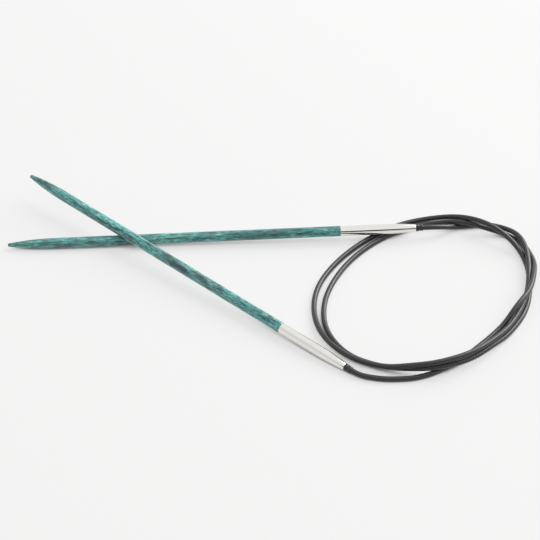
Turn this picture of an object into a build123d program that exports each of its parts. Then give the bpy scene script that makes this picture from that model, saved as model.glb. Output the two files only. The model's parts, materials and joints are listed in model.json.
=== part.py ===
from build123d import *
import math
import os

# Circular knitting needle, 3.25 mm gauge: two birch needle tips on a loosely looped nylon
# cable. Millimetres, +Z up, lying on a table at Z = 0. The origin is on the table, under the
# middle of the box round the two needles. Needle A lies across needle B, and both point to -X.

# Needle tips: laminated birch, turned and lacquered
NEEDLE_DIAMETER = 3.25
NEEDLE_LENGTH = 127.0
POINT_LENGTH = 14.5
POINT_END_DIAMETER = 1.1
POINT_NOSE = 0.32
TENON_DIAMETER = 2.36
TENON_LENGTH = 9.0
TENON_CHAMFER = 0.3

# Ferrules: drawn brass, nickel plated, flush with the wood and drawn in towards the cable
FERRULE_LENGTH = 23.6
FERRULE_DRAW_IN_LENGTH = 11.0
FERRULE_MOUTH_DIAMETER = 2.2
FERRULE_EDGE_ROUND = 0.12
SOCKET_DIAMETER = 2.4
SOCKET_DEPTH = 9.2
CHAMBER_DIAMETER = 2.24
SHOULDER_FROM_MOUTH = 4.0

# Cable, the nylon collar moulded on each end, and the brass stop crimped on each collar's stem
CABLE_DIAMETER = 1.6
CABLE_BORE_DIAMETER = 1.7
STEM_DIAMETER = 1.6
COLLAR_GAP = 0.06
COLLAR_BEAD_DIAMETER = 2.16
COLLAR_BEAD_LENGTH = 0.95
COLLAR_GROOVE_DIAMETER = 1.86
COLLAR_GROOVE_LENGTH = 0.4
COLLAR_RING_DIAMETER = 2.02
COLLAR_RING_LENGTH = 0.85
STOP_DIAMETER = 2.12
STOP_LENGTH = 4.0
STOP_END_PLAY = 0.08
CRIMP_GAP_RADIAL = 0.01

# How the needles lie: they cross in plan at one place, A above B
CROSSING = (-28.71, 15.69)
CROSSING_GAP = 0.12
HEADING_A = -39.3
HEADING_B = 2.6
CROSSING_FROM_TIP_A = 40.2
CROSSING_FROM_TIP_B = 35.9
MOUTH_HEIGHT_A = 1.245
MOUTH_HEIGHT_B = 3.54

# The cable's route between its two straight ends, from collar A to collar B: two loose
# turns and a half, each strand lying on the table or on the strand below it
STRAIGHT_OUT_A = 4.4
STRAIGHT_OUT_B = 7.4
ARC_SHARE_OF_RUN = 0.45
CABLE_ROUTE = [
    (44.8, -43.45, 0.9), (51.0, -43.95, 0.82), (60.8, -43.1, 0.82), (71.6, -36.4, 0.82),
    (80.2, -27.8, 0.82), (85.8, -21.6, 1.7), (89.9, -16.8, 4.3), (94.5, -9.4, 4.6),
    (97.0, -0.6, 3.6), (98.0, 7.2, 1.0), (95.4, 14.0, 0.82), (90.9, 19.2, 0.9),
    (84.8, 20.8, 2.3), (77.0, 23.5, 3.25), (69.0, 25.3, 1.2), (59.0, 22.8, 0.82),
    (49.8, 16.0, 0.82), (41.7, 7.4, 0.82), (35.6, -2.6, 0.82), (32.6, -12.6, 0.82),
    (33.0, -24.0, 0.82), (39.2, -33.8, 0.82), (48.6, -38.8, 0.82), (57.0, -40.5, 1.7),
    (64.6, -41.2, 2.8), (74.2, -37.8, 2.6), (81.1, -32.0, 2.1), (87.9, -25.1, 0.82),
    (93.4, -14.0, 0.82), (95.8, -2.2, 0.82), (95.4, 7.9, 0.9), (91.0, 14.8, 3.3),
    (84.9, 19.9, 5.4), (77.0, 25.5, 3.8), (67.6, 28.0, 0.82), (56.8, 24.6, 0.82),
    (46.0, 16.8, 0.82), (37.2, 7.1, 0.82), (30.9, -4.3, 0.82), (29.35, -16.0, 0.82),
    (32.4, -27.6, 2.0), (39.8, -36.6, 2.6), (49.2, -40.8, 2.55), (57.0, -41.0, 3.5),
    (65.0, -40.8, 4.5), (75.0, -36.6, 4.4), (82.2, -30.0, 3.5), (88.3, -22.4, 2.5),
    (93.9, -10.2, 2.5), (95.9, 2.4, 2.55), (95.9, 11.4, 3.0), (94.3, 17.9, 2.5),
    (89.8, 22.9, 0.95), (83.6, 24.8, 0.82), (75.4, 23.0, 0.84),
]

NEEDLE_RADIUS = NEEDLE_DIAMETER / 2
POINT_END_RADIUS = POINT_END_DIAMETER / 2
MOUTH_RADIUS = FERRULE_MOUTH_DIAMETER / 2
WOOD_LENGTH = NEEDLE_LENGTH - FERRULE_LENGTH
SHOULDER = NEEDLE_LENGTH - SHOULDER_FROM_MOUTH
STEM_RADIUS = STEM_DIAMETER / 2
STOP_END = SHOULDER - STOP_END_PLAY
STOP_START = STOP_END - STOP_LENGTH
BEAD_START = NEEDLE_LENGTH + COLLAR_GAP
BEAD_END = BEAD_START + COLLAR_BEAD_LENGTH
GROOVE_END = BEAD_END + COLLAR_GROOVE_LENGTH
RING_END = GROOVE_END + COLLAR_RING_LENGTH


def heading_vector(heading, slope):
    """The unit vector along a needle from tip to mouth; slope is its rise per length."""
    level = math.sqrt(1 - slope**2)
    return Vector(
        level * math.cos(math.radians(heading)), level * math.sin(math.radians(heading)), slope
    )


def needle_seat(heading, crossing_from_tip, crossing_height, mouth_height):
    """A plane at a needle's tip: local X runs along its axis to the mouth, local Y is level."""
    slope = (mouth_height - crossing_height) / (NEEDLE_LENGTH - crossing_from_tip)
    along = heading_vector(heading, slope)
    tip = Vector(*CROSSING, crossing_height) - along * crossing_from_tip
    level_side = Vector(0, 0, 1).cross(along).normalized()
    return Plane(origin=tip, x_dir=along, z_dir=along.cross(level_side))


# B rests on the table where its point begins, and its ferrule on the cable; A rests on B
slope_b = (MOUTH_HEIGHT_B - NEEDLE_RADIUS) / (NEEDLE_LENGTH - POINT_LENGTH)
height_b = NEEDLE_RADIUS + slope_b * (CROSSING_FROM_TIP_B - POINT_LENGTH)
height_a = height_b + NEEDLE_DIAMETER + CROSSING_GAP
SEATS = {
    "a": needle_seat(HEADING_A, CROSSING_FROM_TIP_A, height_a, MOUTH_HEIGHT_A),
    "b": needle_seat(HEADING_B, CROSSING_FROM_TIP_B, height_b, MOUTH_HEIGHT_B),
}


def seat_axis(seat):
    return Axis(seat.origin, seat.x_dir)


def along_needle(seat, distance):
    """The point on a needle's axis at a distance from its tip."""
    return seat.origin + seat.x_dir * distance


def draw_in_depth(length_before_full, full_length, depth):
    """How far an arc that ends flush after full_length still is inside the full radius."""
    return depth * (length_before_full / full_length) ** 2


def make_needle_tip(seat):
    """The turned wood: a long ogival point, the plain shaft, and the tenon in the ferrule."""
    point_depth = NEEDLE_RADIUS - POINT_END_RADIUS
    middle = (POINT_LENGTH + POINT_NOSE) / 2
    middle_depth = draw_in_depth(POINT_LENGTH - middle, POINT_LENGTH - POINT_NOSE, point_depth)
    tenon_radius = TENON_DIAMETER / 2
    tenon_end = WOOD_LENGTH + TENON_LENGTH
    nose_turn = math.cos(math.radians(45))
    with BuildPart() as needle_tip:
        with BuildSketch(seat):
            with BuildLine():
                ThreePointArc(
                    (0, 0),
                    (POINT_NOSE * (1 - nose_turn), POINT_END_RADIUS * nose_turn),
                    (POINT_NOSE, POINT_END_RADIUS),
                )
                ThreePointArc(
                    (POINT_NOSE, POINT_END_RADIUS),
                    (middle, NEEDLE_RADIUS - middle_depth),
                    (POINT_LENGTH, NEEDLE_RADIUS),
                )
                Polyline(
                    (POINT_LENGTH, NEEDLE_RADIUS),
                    (WOOD_LENGTH, NEEDLE_RADIUS),
                    (WOOD_LENGTH, tenon_radius),
                    (tenon_end - TENON_CHAMFER, tenon_radius),
                    (tenon_end, tenon_radius - TENON_CHAMFER),
                    (tenon_end, 0),
                    (0, 0),
                )
            make_face()
        revolve(axis=seat_axis(seat))
    return needle_tip


def make_ferrule(seat):
    """The metal sleeve: a socket for the tenon, a chamber, a shoulder and the cable's bore."""
    draw_in_start = NEEDLE_LENGTH - FERRULE_DRAW_IN_LENGTH
    middle = NEEDLE_LENGTH - FERRULE_DRAW_IN_LENGTH / 2
    depth = NEEDLE_RADIUS - MOUTH_RADIUS
    middle_depth = draw_in_depth(middle - draw_in_start, FERRULE_DRAW_IN_LENGTH, depth)
    socket_end = WOOD_LENGTH + SOCKET_DEPTH
    rounding = FERRULE_EDGE_ROUND
    with BuildPart() as ferrule:
        with BuildSketch(seat):
            with BuildLine():
                Polyline(
                    (WOOD_LENGTH, SOCKET_DIAMETER / 2),
                    (WOOD_LENGTH, NEEDLE_RADIUS - rounding),
                    (WOOD_LENGTH + rounding, NEEDLE_RADIUS),
                    (draw_in_start, NEEDLE_RADIUS),
                )
                ThreePointArc(
                    (draw_in_start, NEEDLE_RADIUS),
                    (middle, NEEDLE_RADIUS - middle_depth),
                    (NEEDLE_LENGTH - rounding, MOUTH_RADIUS),
                )
                Polyline(
                    (NEEDLE_LENGTH - rounding, MOUTH_RADIUS),
                    (NEEDLE_LENGTH, MOUTH_RADIUS - rounding),
                    (NEEDLE_LENGTH, CABLE_BORE_DIAMETER / 2),
                    (SHOULDER, CABLE_BORE_DIAMETER / 2),
                    (SHOULDER, CHAMBER_DIAMETER / 2),
                    (socket_end, CHAMBER_DIAMETER / 2),
                    (socket_end, SOCKET_DIAMETER / 2),
                    (WOOD_LENGTH, SOCKET_DIAMETER / 2),
                )
            make_face()
        revolve(axis=seat_axis(seat))
    return ferrule


def make_cable_collar(seat):
    """The moulded end: a stem in the ferrule's bore, and a bead, groove and ring outside it."""
    bead_radius = COLLAR_BEAD_DIAMETER / 2
    groove_radius = COLLAR_GROOVE_DIAMETER / 2
    ring_radius = COLLAR_RING_DIAMETER / 2
    bead_edge_radius = (bead_radius + groove_radius) / 2
    with BuildPart() as cable_collar:
        with BuildSketch(seat):
            with BuildLine():
                Polyline(
                    (RING_END, groove_radius),
                    (RING_END, 0),
                    (STOP_START, 0),
                    (STOP_START, STEM_RADIUS),
                    (BEAD_START, STEM_RADIUS),
                    (BEAD_START, bead_edge_radius),
                )
                ThreePointArc(
                    (BEAD_START, bead_edge_radius),
                    ((BEAD_START + BEAD_END) / 2, bead_radius),
                    (BEAD_END, bead_edge_radius),
                )
                Polyline(
                    (BEAD_END, bead_edge_radius),
                    (BEAD_END, groove_radius),
                    (GROOVE_END, groove_radius),
                )
                ThreePointArc(
                    (GROOVE_END, groove_radius),
                    ((GROOVE_END + RING_END) / 2, ring_radius),
                    (RING_END, groove_radius),
                )
            make_face()
        revolve(axis=seat_axis(seat))
    return cable_collar


def make_cable_stop(seat):
    """The crimped sleeve on the collar's stem, held behind the ferrule's shoulder, free to turn."""
    bore_radius = STEM_RADIUS + CRIMP_GAP_RADIAL
    with BuildPart() as cable_stop:
        with BuildSketch(seat):
            with BuildLine():
                Polyline(
                    (STOP_START, bore_radius),
                    (STOP_START, STOP_DIAMETER / 2),
                    (STOP_END, STOP_DIAMETER / 2),
                    (STOP_END, bore_radius),
                    (STOP_START, bore_radius),
                )
            make_face()
        revolve(axis=seat_axis(seat))
    return cable_stop


def make_cable():
    """The cable: straight runs and tangent arcs from collar A's end face to collar B's."""
    seat_a = SEATS["a"]
    seat_b = SEATS["b"]
    points = [
        along_needle(seat_a, RING_END),
        along_needle(seat_a, NEEDLE_LENGTH + STRAIGHT_OUT_A),
        *[Vector(*point) for point in CABLE_ROUTE],
        along_needle(seat_b, NEEDLE_LENGTH + STRAIGHT_OUT_B),
        along_needle(seat_b, RING_END),
    ]
    radii = []
    for before, corner, after in zip(points, points[1:], points[2:]):
        run_in = corner - before
        run_out = after - corner
        half_turn = math.radians(run_in.get_angle(run_out)) / 2
        shorter = min(run_in.length, run_out.length)
        radii.append(ARC_SHARE_OF_RUN * shorter / math.tan(half_turn))
    with BuildPart() as cable:
        with BuildLine() as route:
            FilletPolyline(*points, radius=radii)
        path = route.wires()[0]
        with BuildSketch(Plane(origin=path @ 0, z_dir=path % 0)):
            Circle(CABLE_DIAMETER / 2)
        sweep(path=path)
    print("cable radii", [round(radius, 1) for radius in radii])
    tube_volume = math.pi * CABLE_DIAMETER**2 / 4 * path.length
    print("cable length", round(path.length, 1))
    print("cable volume", round(cable.part.volume, 1), "section x length", round(tube_volume, 1))
    return cable


os.makedirs("parts", exist_ok=True)

pieces = {"cable": make_cable()}
for side, seat in SEATS.items():
    pieces["needle_tip_" + side] = make_needle_tip(seat)
    pieces["ferrule_" + side] = make_ferrule(seat)
    pieces["cable_collar_" + side] = make_cable_collar(seat)
    pieces["cable_stop_" + side] = make_cable_stop(seat)
    print("needle", side, "tip", seat.origin, "axis", seat.x_dir)
    print("needle", side, "mouth", along_needle(seat, NEEDLE_LENGTH))

for name, piece in pieces.items():
    piece.part.label = name
    export_step(piece.part, "parts/" + name + ".step")
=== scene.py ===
"""A circular knitting needle's looks: two dyed birch tips on a loosely looped nylon cable.

Lengths are in metres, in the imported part's frame. A needle's own mesh lies along its local X,
from the tip at 0 to the ferrule's mouth, and is placed by the swivel joint at that mouth.
"""

import json
import math

import bmesh
import bpy
from mathutils import Matrix, Vector


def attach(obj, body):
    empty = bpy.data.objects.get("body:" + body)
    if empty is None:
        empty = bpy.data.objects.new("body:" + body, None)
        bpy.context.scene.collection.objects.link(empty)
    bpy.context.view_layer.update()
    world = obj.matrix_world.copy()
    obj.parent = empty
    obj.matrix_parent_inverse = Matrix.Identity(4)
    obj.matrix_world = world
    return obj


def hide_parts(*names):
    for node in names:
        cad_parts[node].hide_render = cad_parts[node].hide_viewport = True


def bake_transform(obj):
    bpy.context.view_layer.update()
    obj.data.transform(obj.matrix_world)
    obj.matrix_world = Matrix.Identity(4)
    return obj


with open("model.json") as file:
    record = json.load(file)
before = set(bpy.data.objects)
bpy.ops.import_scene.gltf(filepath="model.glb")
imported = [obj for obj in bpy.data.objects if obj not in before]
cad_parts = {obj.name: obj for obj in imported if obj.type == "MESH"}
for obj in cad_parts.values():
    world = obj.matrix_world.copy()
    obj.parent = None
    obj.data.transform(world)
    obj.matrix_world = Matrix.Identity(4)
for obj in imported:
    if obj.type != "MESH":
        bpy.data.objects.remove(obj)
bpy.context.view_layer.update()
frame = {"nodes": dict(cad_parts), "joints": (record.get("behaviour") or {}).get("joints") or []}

# ---------------------------------------------------------------- sizes, as in the CAD part
NEEDLE_RADIUS = 0.001625
NEEDLE_LENGTH = 0.127
POINT_LENGTH = 0.0145
POINT_NOSE = 0.00032
POINT_END_RADIUS = 0.00055
TENON_RADIUS = 0.00118
TENON_LENGTH = 0.009
TENON_CHAMFER = 0.0003
WOOD_EDGE_ROUND = 0.00006
FERRULE_LENGTH = 0.0236
FERRULE_DRAW_IN_LENGTH = 0.011
FERRULE_MOUTH_RADIUS = 0.0011
FERRULE_EDGE_ROUND = 0.00012
SOCKET_RADIUS = 0.0012
SOCKET_DEPTH = 0.0092
CHAMBER_RADIUS = 0.00112
SHOULDER_FROM_MOUTH = 0.004
CABLE_DIAMETER = 0.0016
CABLE_BORE_RADIUS = 0.00085
STEM_RADIUS = 0.0008
STEM_LENGTH = 0.00808
COLLAR_GAP = 0.00006
BEAD_RADIUS = 0.00108
BEAD_LENGTH = 0.00095
GROOVE_RADIUS = 0.00093
GROOVE_LENGTH = 0.0004
RING_RADIUS = 0.00101
RING_LENGTH = 0.00085
GROOVE_WALL_SHARE = 0.12
BELLY_POWER = 0.6
COLLAR_LENGTH = COLLAR_GAP + BEAD_LENGTH + GROOVE_LENGTH + RING_LENGTH
WOOD_LENGTH = NEEDLE_LENGTH - FERRULE_LENGTH
LATHE_SEGMENTS = 72
NOSE_STEPS = 8
POINT_STEPS = 36
SHAFT_STEPS = 90
SLEEVE_STEPS = 14
DRAW_IN_STEPS = 32
BELLY_STEPS = 14
SHARP_ANGLE = math.radians(35)

# ---------------------------------------------------------------- the cable
CABLE_SEGMENTS = 32
CABLE_RESOLUTION = 14
STRAIGHT_OUT_A = 0.0044
STRAIGHT_OUT_B = 0.0074
# Control points, listed from collar A to collar B.
CABLE_ROUTE = [
    (0.0450, -0.0431, 0.00090), (0.0510, -0.0440, 0.00082), (0.0608, -0.0431, 0.00082),
    (0.0716, -0.0364, 0.00082), (0.0802, -0.0278, 0.00082), (0.0858, -0.0217, 0.00130),
    (0.0898, -0.0167, 0.00430), (0.0947, -0.0098, 0.00460), (0.0970, -0.0006, 0.00360),
    (0.0980, 0.0072, 0.00100), (0.0959, 0.0149, 0.00082), (0.0912, 0.0196, 0.00082),
    (0.0848, 0.0211, 0.00230), (0.0770, 0.0234, 0.00325), (0.0690, 0.0251, 0.00120),
    (0.0590, 0.0228, 0.00082), (0.0493, 0.0163, 0.00082), (0.0412, 0.0075, 0.00082),
    (0.0356, -0.0026, 0.00082), (0.0326, -0.0126, 0.00082), (0.0330, -0.0240, 0.00082),
    (0.0390, -0.0342, 0.00082), (0.0486, -0.0388, 0.00082), (0.0570, -0.0405, 0.00170),
    (0.0646, -0.0412, 0.00280), (0.0742, -0.0378, 0.00260), (0.0810, -0.0317, 0.00210),
    (0.0875, -0.0246, 0.00082), (0.0937, -0.0143, 0.00082), (0.0958, -0.0022, 0.00082),
    (0.0956, 0.0080, 0.00090), (0.0914, 0.0151, 0.00330), (0.0849, 0.0199, 0.00540),
    (0.0770, 0.0253, 0.00380), (0.0676, 0.0279, 0.00082), (0.0568, 0.0246, 0.00082),
    (0.0460, 0.0168, 0.00082), (0.0372, 0.0071, 0.00082), (0.0309, -0.0043, 0.00082),
    (0.0294, -0.0160, 0.00082), (0.0321, -0.0278, 0.00200), (0.0395, -0.0370, 0.00265),
    (0.0492, -0.0408, 0.00255), (0.0570, -0.0410, 0.00350), (0.0650, -0.0408, 0.00450),
    (0.0750, -0.0366, 0.00440), (0.0821, -0.0299, 0.00340), (0.0883, -0.0223, 0.00240),
    (0.0939, -0.0102, 0.00250), (0.0959, 0.0024, 0.00255), (0.0959, 0.0114, 0.00300),
    (0.0939, 0.0177, 0.00300), (0.0899, 0.0229, 0.00115), (0.0836, 0.0251, 0.00082),
    (0.0754, 0.0233, 0.00082),
]

# ---------------------------------------------------------------- colours
AQUA = (0.088, 0.296, 0.268)
TEAL = (0.032, 0.180, 0.165)
BLUE_TEAL = (0.055, 0.215, 0.235)
PALE_GREEN = (0.190, 0.400, 0.290)
INK_TEAL = (0.010, 0.062, 0.072)
OLIVE = (0.120, 0.150, 0.060)
PLUM_GREY = (0.036, 0.046, 0.066)
NICKEL_SHADE = (0.790, 0.775, 0.745)
NICKEL_BRIGHT = (0.860, 0.848, 0.822)
NYLON_BLACK = (0.020, 0.020, 0.022)
COLLAR_BLACK = (0.016, 0.016, 0.018)
BRASS = (0.720, 0.540, 0.240)
TARNISH = (0.460, 0.310, 0.120)
PAPER_WHITE = (0.225, 0.225, 0.225)

# ---------------------------------------------------------------- finishes
NYLON_ROUGHNESS = 0.35
COLLAR_ROUGHNESS = 0.28
LACQUER_SHARE = 0.52
LACQUER_ROUGHNESS = 0.30
FIBRE_RELIEF = 0.00002
POLISH_RELIEF = 0.000004
DRAW_LINE_RELIEF = 0.000006
HAZE_BRIGHTENING = 1.4
TOOTH_BRIGHTENING = 1.01
PAPER_GLOW = 0.59
# Painted shade: in narrow gaps between strands, the paper's glow is cut down to this.
PAINTED_GAP_SHADE_GLOW = 0.05 * PAPER_GLOW
PAINTED_GAP_SHADE_REACH = 0.005
PAINTED_GAP_SHADE_SAMPLES = 8
GRAIN_START = {"a": (0.509, 0.018, 0.027), "b": (0.0, 0.0, 0.0)}


# ---------------------------------------------------------------- material helpers
def new_material(name):
    """A node material with only its shader; returns it, its nodes and its links."""
    material = bpy.data.materials.new(name)
    material.use_nodes = True
    tree = material.node_tree
    return material, tree.nodes, tree.links


def place_along(nodes):
    """The place in a piece's own straight frame: the length along it, then across it."""
    source = nodes.new("ShaderNodeAttribute")
    source.attribute_name = "along"
    return source.outputs["Vector"]


def noise(nodes, links, place, spots, detail=2.0, roughness=0.5, distortion=0.0, output="Fac"):
    """Cloudy noise; spots is roughly how many fit in a metre along each axis."""
    scaling = nodes.new("ShaderNodeVectorMath")
    scaling.operation = "MULTIPLY"
    scaling.inputs[1].default_value = spots
    links.new(place, scaling.inputs[0])
    made = nodes.new("ShaderNodeTexNoise")
    made.inputs["Scale"].default_value = 1.0
    made.inputs["Detail"].default_value = detail
    made.inputs["Roughness"].default_value = roughness
    made.inputs["Distortion"].default_value = distortion
    links.new(scaling.outputs[0], made.inputs["Vector"])
    return made.outputs[output]


def colour_ramp(nodes, links, factor, stops):
    """A colour ramp; stops are (position, colour) pairs in rising order."""
    made = nodes.new("ShaderNodeValToRGB")
    elements = made.color_ramp.elements
    while len(elements) < len(stops):
        elements.new(0.5)
    for element, (position, colour) in zip(elements, stops):
        element.position = position
        element.color = (*colour, 1.0)
    links.new(factor, made.inputs["Fac"])
    return made.outputs["Color"]


def grey_ramp(nodes, links, factor, low, high, from_value=0.0, to_value=1.0):
    """Maps factor from low..high to from_value..to_value, held at both ends."""
    made = nodes.new("ShaderNodeMapRange")
    made.inputs["From Min"].default_value = low
    made.inputs["From Max"].default_value = high
    made.inputs["To Min"].default_value = from_value
    made.inputs["To Max"].default_value = to_value
    links.new(factor, made.inputs["Value"])
    return made.outputs["Result"]


def mix_colour(nodes, links, factor, first, second, blend_type="MIX"):
    """Mixes two colours; each is a socket or a plain colour, and factor a socket or a number."""
    made = nodes.new("ShaderNodeMix")
    made.data_type = "RGBA"
    made.blend_type = blend_type
    for socket, value in ((made.inputs[0], factor), (made.inputs[6], first), (made.inputs[7], second)):
        if isinstance(value, bpy.types.NodeSocket):
            links.new(value, socket)
        elif isinstance(value, tuple):
            socket.default_value = (*value, 1.0)
        else:
            socket.default_value = value
    return made.outputs[2]


def product_of(nodes, links, factors):
    """Multiplies any number of grey values together."""
    total = factors[0]
    for factor in factors[1:]:
        product = nodes.new("ShaderNodeMath")
        product.operation = "MULTIPLY"
        links.new(total, product.inputs[0])
        links.new(factor, product.inputs[1])
        total = product.outputs[0]
    return total


def bump(nodes, links, height, distance, shader, strength):
    """Raises the surface by the height value times distance, in metres."""
    made = nodes.new("ShaderNodeBump")
    made.inputs["Strength"].default_value = strength
    made.inputs["Distance"].default_value = distance
    links.new(height, made.inputs["Height"])
    links.new(made.outputs["Normal"], shader.inputs["Normal"])


# ---------------------------------------------------------------- materials
def dyed_birch():
    """Dyed veneers under lacquer: mottled teal layers, drawn-out fibres and dark flecks."""
    material, nodes, links = new_material("dyed_birch")
    shader = nodes["Principled BSDF"]
    place = place_along(nodes)

    # The grain wanders sideways by up to a millimetre.
    wander = noise(nodes, links, place, (190.0, 420.0, 420.0), 3.0, output="Color")
    drift = nodes.new("ShaderNodeVectorMath")
    drift.operation = "MULTIPLY_ADD"
    drift.inputs[1].default_value = (0.0, 0.0010, 0.0010)
    links.new(wander, drift.inputs[0])
    links.new(place, drift.inputs[2])
    warped = drift.outputs[0]

    # Layers of dye, then light and dark fibres over them.
    layers = noise(nodes, links, warped, (210.0, 1250.0, 1450.0), 4.0, 0.62, 0.25)
    colour = colour_ramp(nodes, links, layers, [
        (0.36, INK_TEAL), (0.44, TEAL), (0.50, AQUA), (0.54, BLUE_TEAL), (0.59, AQUA), (0.66, PALE_GREEN),
    ])
    fibres = noise(nodes, links, warped, (560.0, 3000.0, 3000.0), 4.0, 0.7)
    fibre_shade = grey_ramp(nodes, links, fibres, 0.37, 0.63, 0.34, 1.66)
    colour = mix_colour(nodes, links, 1.0, colour, fibre_shade, "MULTIPLY")

    # Inky flecks, which come in clusters.
    flecks = noise(nodes, links, warped, (330.0, 2100.0, 2100.0), 2.0, 0.5, 0.3)
    fleck_share = grey_ramp(nodes, links, flecks, 0.55, 0.64, 0.0, 0.85)
    clusters = noise(nodes, links, place, (150.0, 700.0, 700.0))
    cluster_share = grey_ramp(nodes, links, clusters, 0.46, 0.58, 0.15, 1.0)
    fleck_share = product_of(nodes, links, [fleck_share, cluster_share])
    colour = mix_colour(nodes, links, fleck_share, colour, INK_TEAL)

    # Smoky patches, barely dyed ones, and long lighter and darker zones.
    smoky = noise(nodes, links, warped, (75.0, 420.0, 420.0))
    smoky_share = grey_ramp(nodes, links, smoky, 0.58, 0.68, 0.0, 0.7)
    colour = mix_colour(nodes, links, smoky_share, colour, PLUM_GREY)
    bare = noise(nodes, links, place, (55.0, 500.0, 500.0))
    bare_share = grey_ramp(nodes, links, bare, 0.60, 0.70, 0.0, 0.35)
    colour = mix_colour(nodes, links, bare_share, colour, OLIVE)
    zones = noise(nodes, links, place, (62.0, 330.0, 330.0))
    zone_shade = grey_ramp(nodes, links, zones, 0.39, 0.58, 0.68, 1.26)
    colour = mix_colour(nodes, links, 1.0, colour, zone_shade, "MULTIPLY")

    links.new(colour, shader.inputs["Base Color"])
    links.new(grey_ramp(nodes, links, fibres, 0.3, 0.7, 0.36, 0.46), shader.inputs["Roughness"])
    shader.inputs["Specular IOR Level"].default_value = 0.42
    shader.inputs["Coat Weight"].default_value = LACQUER_SHARE
    shader.inputs["Coat Roughness"].default_value = LACQUER_ROUGHNESS
    bump(nodes, links, fibres, FIBRE_RELIEF, shader, 0.6)
    return material


def nickel_plate():
    """Polished nickel with faint lengthwise polishing lines and a little uneven gloss."""
    material, nodes, links = new_material("nickel_plate")
    shader = nodes["Principled BSDF"]
    place = place_along(nodes)
    cloud = noise(nodes, links, place, (160.0, 700.0, 700.0), 3.0)
    tint = mix_colour(nodes, links, cloud, NICKEL_SHADE, NICKEL_BRIGHT)
    links.new(tint, shader.inputs["Base Color"])
    lines = noise(nodes, links, place, (90.0, 9000.0, 9000.0))
    links.new(grey_ramp(nodes, links, cloud, 0.3, 0.7, 0.05, 0.10), shader.inputs["Roughness"])
    shader.inputs["Metallic"].default_value = 1.0
    bump(nodes, links, lines, POLISH_RELIEF, shader, 0.5)
    return material


def black_nylon(name, colour, roughness):
    """Extruded or moulded black nylon: semi-gloss, with faint draw lines along its length."""
    material, nodes, links = new_material(name)
    shader = nodes["Principled BSDF"]
    place = place_along(nodes)
    lines = noise(nodes, links, place, (60.0, 5200.0, 5200.0))
    haze = noise(nodes, links, place, (300.0, 1500.0, 1500.0), 3.0)
    lighter = tuple(HAZE_BRIGHTENING * channel for channel in colour)
    links.new(mix_colour(nodes, links, haze, colour, lighter), shader.inputs["Base Color"])
    gloss = grey_ramp(nodes, links, haze, 0.3, 0.7, roughness - 0.05, roughness + 0.06)
    links.new(gloss, shader.inputs["Roughness"])
    bump(nodes, links, lines, DRAW_LINE_RELIEF, shader, 0.6)
    return material


def crimped_brass():
    """Bare brass, slightly tarnished in patches."""
    material, nodes, links = new_material("brass_sleeve")
    shader = nodes["Principled BSDF"]
    place = nodes.new("ShaderNodeTexCoord").outputs["Object"]
    patches = noise(nodes, links, place, (900.0, 900.0, 900.0), 4.0)
    links.new(mix_colour(nodes, links, patches, TARNISH, BRASS), shader.inputs["Base Color"])
    links.new(grey_ramp(nodes, links, patches, 0.3, 0.7, 0.22, 0.45), shader.inputs["Roughness"])
    shader.inputs["Metallic"].default_value = 1.0
    return material


def white_paper():
    """Overexposed white paper: it glows, but hardly at all in the narrow gaps between strands, where the
    dimmed glow is painted shade.
    """
    material, nodes, links = new_material("white_paper")
    shader = nodes["Principled BSDF"]
    place = nodes.new("ShaderNodeTexCoord").outputs["Object"]
    tooth = noise(nodes, links, place, (900.0, 900.0, 900.0), 4.0)
    lighter = tuple(TOOTH_BRIGHTENING * channel for channel in PAPER_WHITE)
    links.new(mix_colour(nodes, links, tooth, PAPER_WHITE, lighter), shader.inputs["Base Color"])
    shader.inputs["Roughness"].default_value = 0.9
    shader.inputs["Specular IOR Level"].default_value = 0.1
    shader.inputs["Emission Color"].default_value = (1.0, 1.0, 0.998, 1.0)
    # Painted shade: ambient occlusion dims the glow where strands close the paper in.
    gap_shade_probe = nodes.new("ShaderNodeAmbientOcclusion")
    gap_shade_probe.samples = PAINTED_GAP_SHADE_SAMPLES
    gap_shade_probe.inputs["Distance"].default_value = PAINTED_GAP_SHADE_REACH
    glow = grey_ramp(nodes, links, gap_shade_probe.outputs["AO"], 0.20, 0.45, PAINTED_GAP_SHADE_GLOW, PAPER_GLOW)
    links.new(glow, shader.inputs["Emission Strength"])
    return material


# ---------------------------------------------------------------- mesh helpers
def finish_mesh(name, mesh, material):
    """Consistent outward faces, smooth but for real edges, and its material."""
    work = bmesh.new()
    work.from_mesh(mesh)
    bmesh.ops.recalc_face_normals(work, faces=work.faces)
    work.to_mesh(mesh)
    work.free()
    mesh.shade_smooth()
    mesh.set_sharp_from_angle(angle=SHARP_ANGLE)
    mesh.materials.append(material)
    piece = bpy.data.objects.new(name, mesh)
    bpy.context.scene.collection.objects.link(piece)
    return piece


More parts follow.
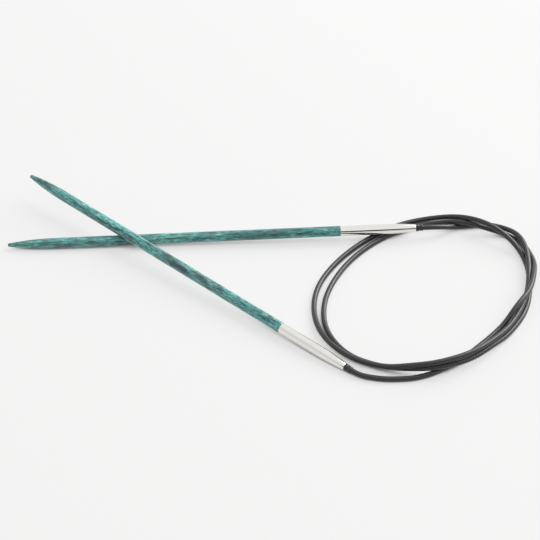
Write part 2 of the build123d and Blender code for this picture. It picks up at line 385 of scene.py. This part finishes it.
def lathe(name, outline, material, grain_start, closed):
    """A turned solid about local X; outline is (distance, radius) points, radius 0 a pole.

    A closed outline joins its last point to its first, as round a sleeve's bore. grain_start
    is where its pattern begins, so that two like pieces are not marked alike.
    """
    vertices = []
    rings = []
    for distance, radius in outline:
        if radius == 0:
            rings.append([len(vertices)])
            vertices.append((distance, 0.0, 0.0))
            continue
        rings.append(list(range(len(vertices), len(vertices) + LATHE_SEGMENTS)))
        for step in range(LATHE_SEGMENTS):
            angle = math.tau * step / LATHE_SEGMENTS
            vertices.append((distance, radius * math.cos(angle), radius * math.sin(angle)))
    pairs = list(zip(rings, rings[1:]))
    if closed:
        pairs.append((rings[-1], rings[0]))
    faces = []
    for near, far in pairs:
        for step in range(LATHE_SEGMENTS):
            after = (step + 1) % LATHE_SEGMENTS
            if len(near) == 1:
                faces.append((near[0], far[step], far[after]))
            elif len(far) == 1:
                faces.append((near[step], far[0], near[after]))
            else:
                faces.append((near[step], far[step], far[after], near[after]))
    mesh = bpy.data.meshes.new(name)
    mesh.from_pydata(vertices, [], faces)
    along = mesh.attributes.new("along", "FLOAT_VECTOR", "POINT")
    along.data.foreach_set(
        "vector", [value for vertex in vertices for value in Vector(vertex) + Vector(grain_start)]
    )
    return finish_mesh(name, mesh, material)


def spaced(start, end, count):
    """The ends of count even steps from start to end, both included."""
    return [start + (end - start) * step / count for step in range(count + 1)]


def rounded_corner(corner, radius, first_angle, last_angle, steps=4):
    """Points of a quarter round whose centre is corner, from first_angle to last_angle."""
    return [
        (
            corner[0] + radius * math.cos(math.radians(angle)),
            corner[1] + radius * math.sin(math.radians(angle)),
        )
        for angle in spaced(first_angle, last_angle, steps)
    ]


# ---------------------------------------------------------------- where the needles lie
def joint_named(name):
    """The frame's entry for a joint."""
    return next(joint for joint in frame["joints"] if joint["name"] == name)


def needle_seat(side):
    """The matrix that lays local X on the needle's axis, with the tip at its origin."""
    swivel = joint_named("swivel_" + side)
    mouth = Vector(swivel["pos_m"])
    axis = Vector(swivel["axis"]).normalized()
    level_side = Vector((0, 0, 1)).cross(axis).normalized()
    upward = axis.cross(level_side)
    seat = Matrix((axis, level_side, upward)).transposed().to_4x4()
    seat.translation = mouth - axis * NEEDLE_LENGTH
    return seat


# ---------------------------------------------------------------- the needles' pieces
def wood_outline():
    """The nose, the long ogival point, the plain shaft and the tenon inside the ferrule."""
    nose = [
        (POINT_NOSE * (1 - math.cos(angle)), POINT_END_RADIUS * math.sin(angle))
        for angle in spaced(0.0, math.pi / 2, NOSE_STEPS)
    ]
    nose[0] = (0.0, 0.0)
    point = []
    for distance in spaced(POINT_NOSE, POINT_LENGTH, POINT_STEPS)[1:]:
        share = (POINT_LENGTH - distance) / (POINT_LENGTH - POINT_NOSE)
        point.append((distance, NEEDLE_RADIUS - (NEEDLE_RADIUS - POINT_END_RADIUS) * share**2))
    shaft_places = spaced(POINT_LENGTH, WOOD_LENGTH, SHAFT_STEPS)[1:-1]
    shaft = [(distance, NEEDLE_RADIUS) for distance in shaft_places]
    edge = rounded_corner(
        (WOOD_LENGTH - WOOD_EDGE_ROUND, NEEDLE_RADIUS - WOOD_EDGE_ROUND), WOOD_EDGE_ROUND, 90, 0
    )
    tenon_end = WOOD_LENGTH + TENON_LENGTH
    tenon = [
        (WOOD_LENGTH, TENON_RADIUS),
        (tenon_end - TENON_CHAMFER, TENON_RADIUS),
        (tenon_end, TENON_RADIUS - TENON_CHAMFER),
        (tenon_end, 0.0),
    ]
    return nose + point + shaft + edge + tenon


def ferrule_outline():
    """The sleeve's outside, drawn in to its mouth, and its stepped bore."""
    draw_in_start = NEEDLE_LENGTH - FERRULE_DRAW_IN_LENGTH
    rounding = FERRULE_EDGE_ROUND
    rim = rounded_corner((WOOD_LENGTH + rounding, NEEDLE_RADIUS - rounding), rounding, 180, 90, 6)
    sleeve_places = spaced(WOOD_LENGTH + rounding, draw_in_start, SLEEVE_STEPS)
    sleeve = [(distance, NEEDLE_RADIUS) for distance in sleeve_places]
    drawn = []
    for distance in spaced(draw_in_start, NEEDLE_LENGTH - rounding, DRAW_IN_STEPS)[1:]:
        share = (distance - draw_in_start) / FERRULE_DRAW_IN_LENGTH
        drawn.append((distance, NEEDLE_RADIUS - (NEEDLE_RADIUS - FERRULE_MOUTH_RADIUS) * share**2))
    lip = rounded_corner((NEEDLE_LENGTH - rounding, FERRULE_MOUTH_RADIUS - rounding), rounding, 90, 0, 6)
    shoulder = NEEDLE_LENGTH - SHOULDER_FROM_MOUTH
    socket_end = WOOD_LENGTH + SOCKET_DEPTH
    bore = [
        (NEEDLE_LENGTH, CABLE_BORE_RADIUS),
        (shoulder, CABLE_BORE_RADIUS),
        (shoulder, CHAMBER_RADIUS),
        (socket_end, CHAMBER_RADIUS),
        (socket_end, SOCKET_RADIUS),
        (WOOD_LENGTH, SOCKET_RADIUS),
    ]
    return rim + sleeve[1:] + drawn + lip[1:] + bore


def collar_outline():
    """The moulded end: the stem in the ferrule, then the bead, the groove and the ring."""
    bead_start = NEEDLE_LENGTH + COLLAR_GAP
    bead_end = bead_start + BEAD_LENGTH
    groove_end = bead_end + GROOVE_LENGTH
    ring_end = groove_end + RING_LENGTH
    bead_edge = (BEAD_RADIUS + GROOVE_RADIUS) / 2
    stem_start = bead_start - STEM_LENGTH
    stem = [(stem_start, 0.0), (stem_start, STEM_RADIUS), (bead_start, STEM_RADIUS)]

    def crowned(start, end, edge, crown):
        """A full belly between two edges, steeper at the edges than an arc."""
        belly = []
        for distance in spaced(start, end, BELLY_STEPS):
            share = math.sin(math.pi * (distance - start) / (end - start)) ** BELLY_POWER
            belly.append((distance, edge + (crown - edge) * share))
        return belly

    bead = crowned(bead_start, bead_end, bead_edge, BEAD_RADIUS)
    groove = [(bead_end + GROOVE_LENGTH * GROOVE_WALL_SHARE, GROOVE_RADIUS), (groove_end, GROOVE_RADIUS)]
    ring = crowned(groove_end, ring_end, GROOVE_RADIUS, RING_RADIUS)
    return stem + bead + groove + ring[1:] + [(ring_end, 0.0)]


# ---------------------------------------------------------------- the cable
def cable_line_points():
    """The route's control points, from the end face of collar A to that of collar B."""
    ends = {}
    for side, straight_out in (("a", STRAIGHT_OUT_A), ("b", STRAIGHT_OUT_B)):
        swivel = joint_named("swivel_" + side)
        mouth = Vector(swivel["pos_m"])
        axis = Vector(swivel["axis"]).normalized()
        ends[side] = (mouth + axis * COLLAR_LENGTH, mouth + axis * straight_out)
    route = [Vector(point) for point in CABLE_ROUTE]
    return [*ends["a"], *route, *reversed(ends["b"])]


def spline_path(name, points):
    """The points along a NURBS curve through a list of control points."""
    curve = bpy.data.curves.new(name, "CURVE")
    curve.dimensions = "3D"
    spline = curve.splines.new("NURBS")
    spline.points.add(len(points) - 1)
    for control, point in zip(spline.points, points):
        control.co = (*point, 1.0)
    spline.order_u = 3
    spline.use_endpoint_u = True
    spline.resolution_u = CABLE_RESOLUTION
    holder = bpy.data.objects.new(name, curve)
    bpy.context.scene.collection.objects.link(holder)
    bpy.context.view_layer.update()
    drawn = bpy.data.meshes.new_from_object(holder)
    path = [vertex.co.copy() for vertex in drawn.vertices]
    bpy.data.objects.remove(holder)
    bpy.data.curves.remove(curve)
    bpy.data.meshes.remove(drawn)
    return path


def path_lengths(path):
    """The length along the path at each of its points."""
    lengths = [0.0]
    for before, after in zip(path, path[1:]):
        lengths.append(lengths[-1] + (after - before).length)
    return lengths


def cable_tube(name, path, lengths, radius, material):
    """A round tube along a path, its cross-sections carried along without twisting."""
    vertices = []
    along = []
    side = None
    for index, centre in enumerate(path):
        ahead = path[min(index + 1, len(path) - 1)]
        behind = path[max(index - 1, 0)]
        tangent = (ahead - behind).normalized()
        if side is None:
            side = tangent.cross(Vector((0, 0, 1)))
        side = (side - tangent * side.dot(tangent)).normalized()
        upward = side.cross(tangent)
        for step in range(CABLE_SEGMENTS):
            angle = math.tau * step / CABLE_SEGMENTS
            out = side * math.cos(angle) + upward * math.sin(angle)
            vertices.append(centre + out * radius)
            along.extend((lengths[index], radius * math.cos(angle), radius * math.sin(angle)))
    faces = []
    for index in range(len(path) - 1):
        for step in range(CABLE_SEGMENTS):
            here = index * CABLE_SEGMENTS + step
            beside = index * CABLE_SEGMENTS + (step + 1) % CABLE_SEGMENTS
            faces.append((here, beside, beside + CABLE_SEGMENTS, here + CABLE_SEGMENTS))
    faces.append(tuple(range(CABLE_SEGMENTS)))
    faces.append(tuple(range(len(vertices) - CABLE_SEGMENTS, len(vertices))))
    mesh = bpy.data.meshes.new(name)
    mesh.from_pydata(vertices, [], faces)
    attribute = mesh.attributes.new("along", "FLOAT_VECTOR", "POINT")
    attribute.data.foreach_set("vector", along)
    return finish_mesh(name, mesh, material)


# ---------------------------------------------------------------- building the object
birch = dyed_birch()
nickel = nickel_plate()
nylon = black_nylon("black_nylon", NYLON_BLACK, NYLON_ROUGHNESS)
collar_plastic = black_nylon("black_collar", COLLAR_BLACK, COLLAR_ROUGHNESS)
brass = crimped_brass()

path = spline_path("cable_line", cable_line_points())
lengths = path_lengths(path)
cable = cable_tube("cable_tube", path, lengths, CABLE_DIAMETER / 2, nylon)
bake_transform(cable)
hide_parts("cable")

collar_body = {"a": "cable_end_a", "b": "cable"}
for side in "ab":
    seat = needle_seat(side)
    turned = (
        ("needle_tip_", wood_outline(), birch, False, "dyed_birch", "needle_" + side),
        ("ferrule_", ferrule_outline(), nickel, True, "nickel_plate", "needle_" + side),
        ("cable_collar_", collar_outline(), collar_plastic, False, "black_collar", collar_body[side]),
    )
    for kind, outline, material, closed, slot, body in turned:
        piece = lathe(kind + side + "_turned", outline, material, GRAIN_START[side], closed)
        piece.data.transform(seat)
        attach(piece, body)
        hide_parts(kind + side)
    stop = frame["nodes"]["cable_stop_" + side]
    stop.data.materials.clear()
    stop.data.materials.append(brass)

# ---------------------------------------------------------------- table, light and camera
FLOOR_HALF = 4.0
floor_mesh = bpy.data.meshes.new("floor")
floor_corners = [(x * FLOOR_HALF, y * FLOOR_HALF, 0.0) for x, y in ((-1, -1), (1, -1), (1, 1), (-1, 1))]
floor_mesh.from_pydata(floor_corners, [], [(0, 1, 2, 3)])
floor_mesh.materials.append(white_paper())
floor = bpy.data.objects.new("floor", floor_mesh)
bpy.context.scene.collection.objects.link(floor)

SOFTBOX_SIZE = (0.85, 1.1)
SOFTBOX_DISTANCE = 1.3
SOFTBOX_HEADING = math.radians(50)
SOFTBOX_ELEVATION = math.radians(36)
SOFTBOX_POWER = 18.5
softbox_data = bpy.data.lights.new("softbox", "AREA")
softbox_data.shape = "RECTANGLE"
softbox_data.size = SOFTBOX_SIZE[0]
softbox_data.size_y = SOFTBOX_SIZE[1]
softbox_data.energy = SOFTBOX_POWER
softbox = bpy.data.objects.new("softbox", softbox_data)
bpy.context.scene.collection.objects.link(softbox)
toward_light = Vector((
    math.cos(SOFTBOX_ELEVATION) * math.sin(SOFTBOX_HEADING),
    math.cos(SOFTBOX_ELEVATION) * math.cos(SOFTBOX_HEADING),
    math.sin(SOFTBOX_ELEVATION),
))
softbox.location = toward_light * SOFTBOX_DISTANCE
softbox.rotation_euler = toward_light.to_track_quat("Z", "Y").to_euler()
softbox.visible_camera = False

DOME_COLOUR = (1.0, 0.995, 0.985, 1.0)
DOME_STRENGTH = 0.96
DIM_WALL_STRENGTH = 0.79
DARK_SHARE = 0.01

world = bpy.data.worlds.new("studio")
bpy.context.scene.world = world
world.use_nodes = True


def studio_dome(tree):
    """A white dome, with the dark of the room low in front (-Y) and a dimmer wall behind, at left."""
    nodes, links = tree.nodes, tree.links
    direction = nodes.new("ShaderNodeSeparateXYZ")
    links.new(nodes.new("ShaderNodeTexCoord").outputs["Generated"], direction.inputs[0])
    sideways = nodes.new("ShaderNodeMath")
    sideways.operation = "ABSOLUTE"
    links.new(direction.outputs["X"], sideways.inputs[0])
    dark_room = product_of(nodes, links, [
        grey_ramp(nodes, links, sideways.outputs[0], 0.58, 0.78, 1.0, 0.0),
        grey_ramp(nodes, links, direction.outputs["Z"], 0.10, 0.17, 0.0, 1.0),
        grey_ramp(nodes, links, direction.outputs["Z"], 0.50, 0.60, 1.0, 0.0),
        grey_ramp(nodes, links, direction.outputs["Y"], -0.3, -0.1, 1.0, 0.0),
    ])
    dim_wall = product_of(nodes, links, [
        grey_ramp(nodes, links, direction.outputs["X"], -0.62, -0.42, 1.0, 0.0),
        grey_ramp(nodes, links, direction.outputs["Y"], 0.0, 0.5, 1.0, 0.0),
        grey_ramp(nodes, links, direction.outputs["Z"], 0.0, 0.2, 0.0, 1.0),
    ])
    wall = grey_ramp(nodes, links, dim_wall, 0.0, 1.0, DOME_STRENGTH, DIM_WALL_STRENGTH)
    open_share = grey_ramp(nodes, links, dark_room, 0.0, 1.0, 1.0, DARK_SHARE)
    background = nodes["Background"]
    background.inputs["Color"].default_value = DOME_COLOUR
    links.new(product_of(nodes, links, [wall, open_share]), background.inputs["Strength"])


studio_dome(world.node_tree)

CAMERA_TARGET = Vector((0.0168, 0.0040, 0.0))
CAMERA_DISTANCE = 0.52
CAMERA_ELEVATION = math.radians(41.65)
CAMERA_LENS = 113.1
SENSOR_WIDTH = 36.0
camera_data = bpy.data.cameras.new("camera")
camera_data.lens = CAMERA_LENS
camera_data.sensor_width = SENSOR_WIDTH
camera_data.clip_start = 0.01
camera_data.clip_end = 50.0
camera = bpy.data.objects.new("camera", camera_data)
bpy.context.scene.collection.objects.link(camera)
toward_camera = Vector((0.0, -math.cos(CAMERA_ELEVATION), math.sin(CAMERA_ELEVATION)))
camera.location = CAMERA_TARGET + toward_camera * CAMERA_DISTANCE
camera.rotation_euler = toward_camera.to_track_quat("Z", "Y").to_euler()
bpy.context.scene.camera = camera
bpy.context.scene.view_settings.view_transform = "Standard"
